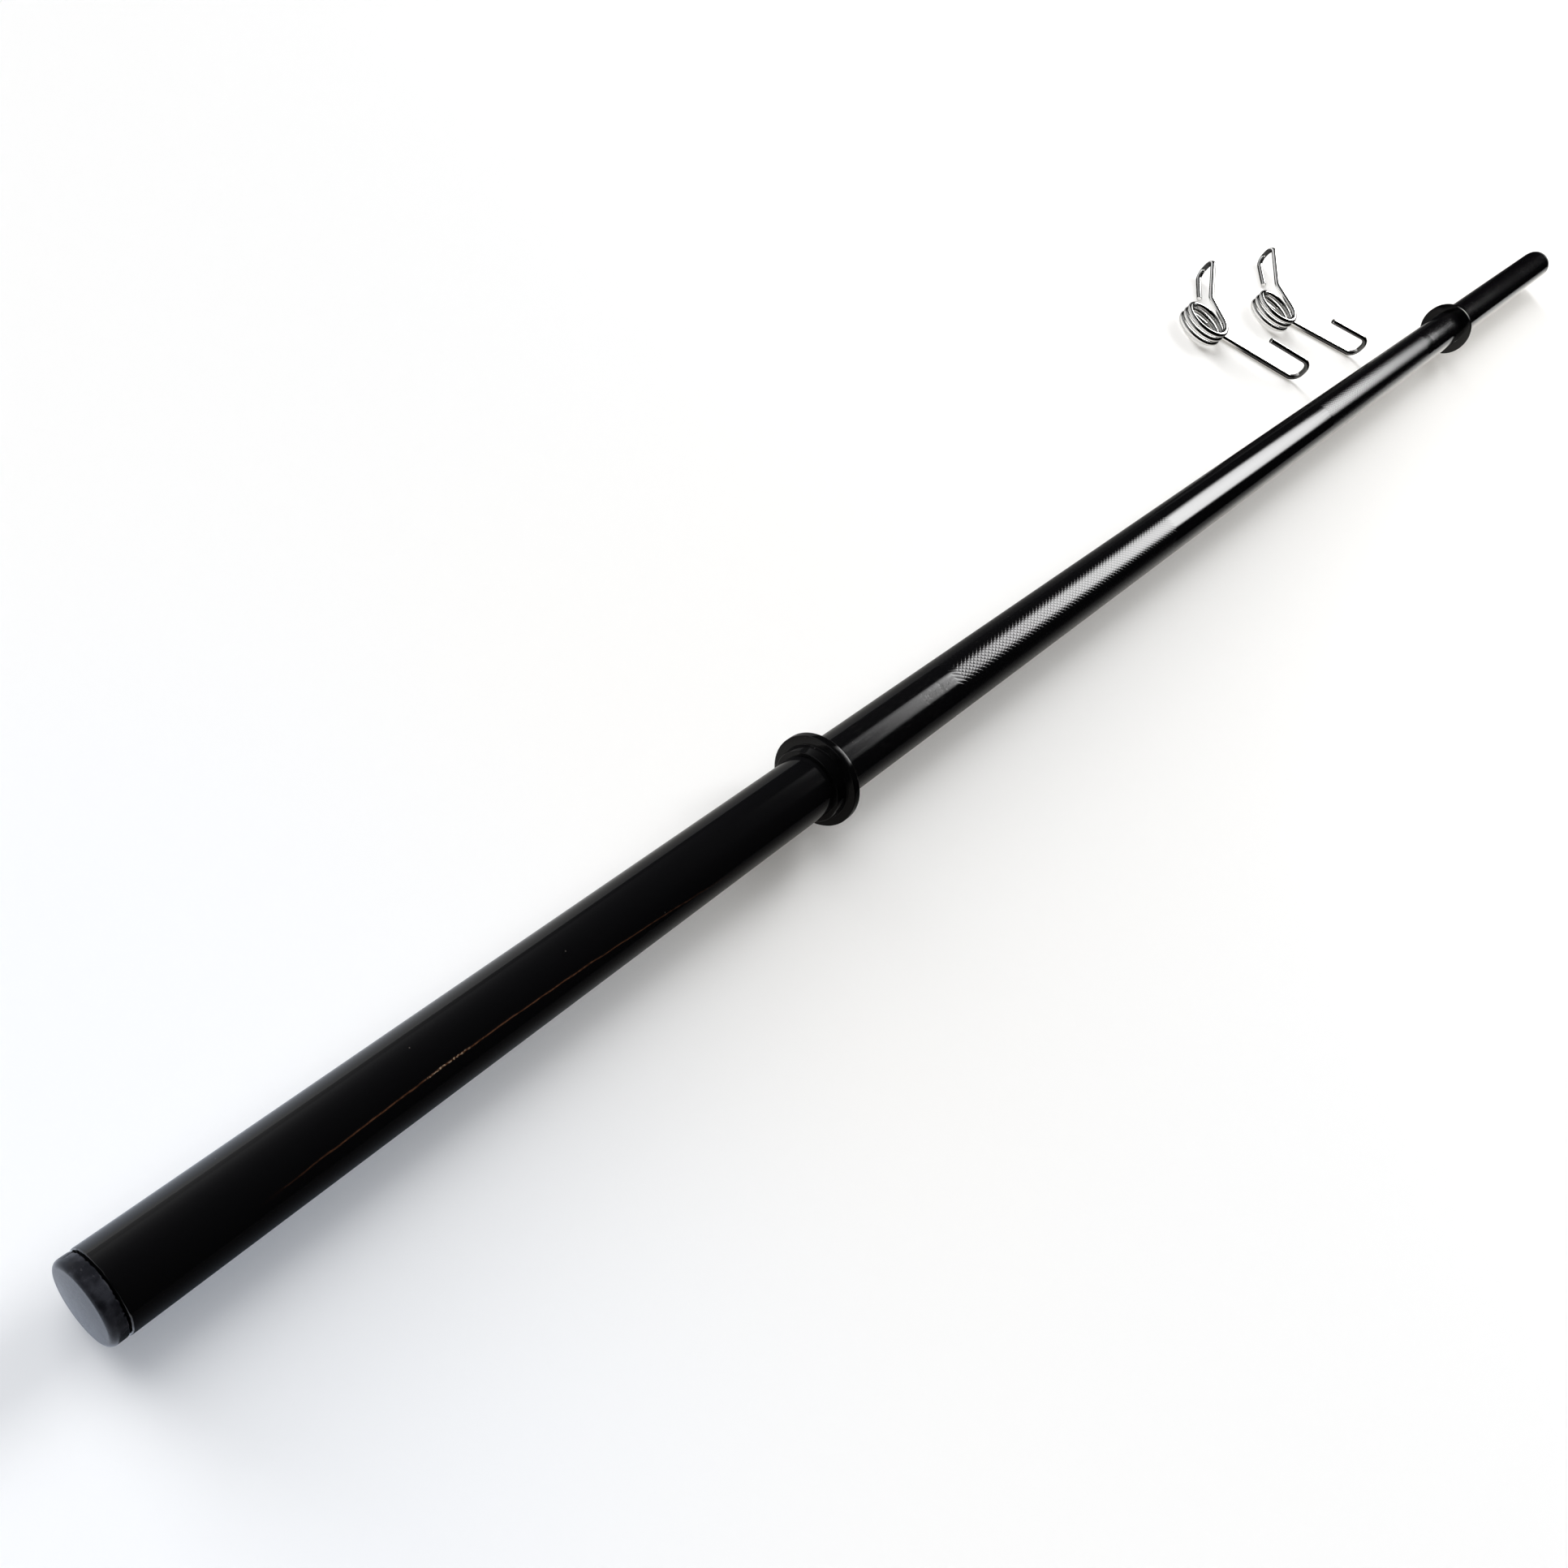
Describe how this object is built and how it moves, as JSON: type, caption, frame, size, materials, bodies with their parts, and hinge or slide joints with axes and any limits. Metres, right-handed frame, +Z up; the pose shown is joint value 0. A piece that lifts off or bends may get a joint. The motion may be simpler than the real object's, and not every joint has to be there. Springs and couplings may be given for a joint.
{
  "type": "standard barbell",
  "caption": "One-piece hollow steel weight bar with knurled grip, stop collars, end plugs and two wire spring clips lying beside it.",
  "frame": {"origin": "on the floor, in the middle of the footprint of the bar and its two clips", "axes": "+X along the bar from the near end to the far end, +Y from the bar to the clips, +Z up"},
  "size_m": [1.4706, 0.1537, 0.038],
  "materials": {
    "tube_paint": "satin black paint on steel, with fine scratches on the grip",
    "collar_paint": "gloss black paint over steel and its weld",
    "plug_plastic": "dark grey moulded plastic",
    "clip_chrome": "bright chrome plating on spring wire"
  },
  "bodies": {
    "bar": {"bar_tube": "tube_paint", "collar_near": "collar_paint", "collar_far": "collar_paint", "end_plug_near": "plug_plastic", "end_plug_far": "plug_plastic"},
    "clip_a": {"clip_a_coil": "clip_chrome", "clip_a_floor_handle": "clip_chrome"},
    "clip_a_squeeze_handle_body": {"clip_a_squeeze_handle": "clip_chrome"},
    "clip_b": {"clip_b_coil": "clip_chrome", "clip_b_floor_handle": "clip_chrome"},
    "clip_b_squeeze_handle_body": {"clip_b_squeeze_handle": "clip_chrome"}
  },
  "joints": [
    {"name": "clip_a_lift", "type": "slide", "parent": "bar", "child": "clip_a", "axis": [0, 0, 1], "range_m": [0, 0.12]},
    {"name": "clip_a_squeeze", "type": "hinge", "parent": "clip_a", "child": "clip_a_squeeze_handle_body", "pos_m": [0.1272, 0.0401, 0.0073], "axis": [0, 0, -1], "range_deg": [0, 45], "stiffness_Nm_per_rad": 4.8, "deforming": ["clip_a_coil"]},
    {"name": "clip_b_lift", "type": "slide", "parent": "bar", "child": "clip_b", "axis": [0, 0, 1], "range_m": [0, 0.12]},
    {"name": "clip_b_squeeze", "type": "hinge", "parent": "clip_b", "child": "clip_b_squeeze_handle_body", "pos_m": [0.2293, 0.0255, 0.0073], "axis": [0, 0, -1], "range_deg": [0, 45], "stiffness_Nm_per_rad": 4.8, "deforming": ["clip_b_coil"]}
  ]
}
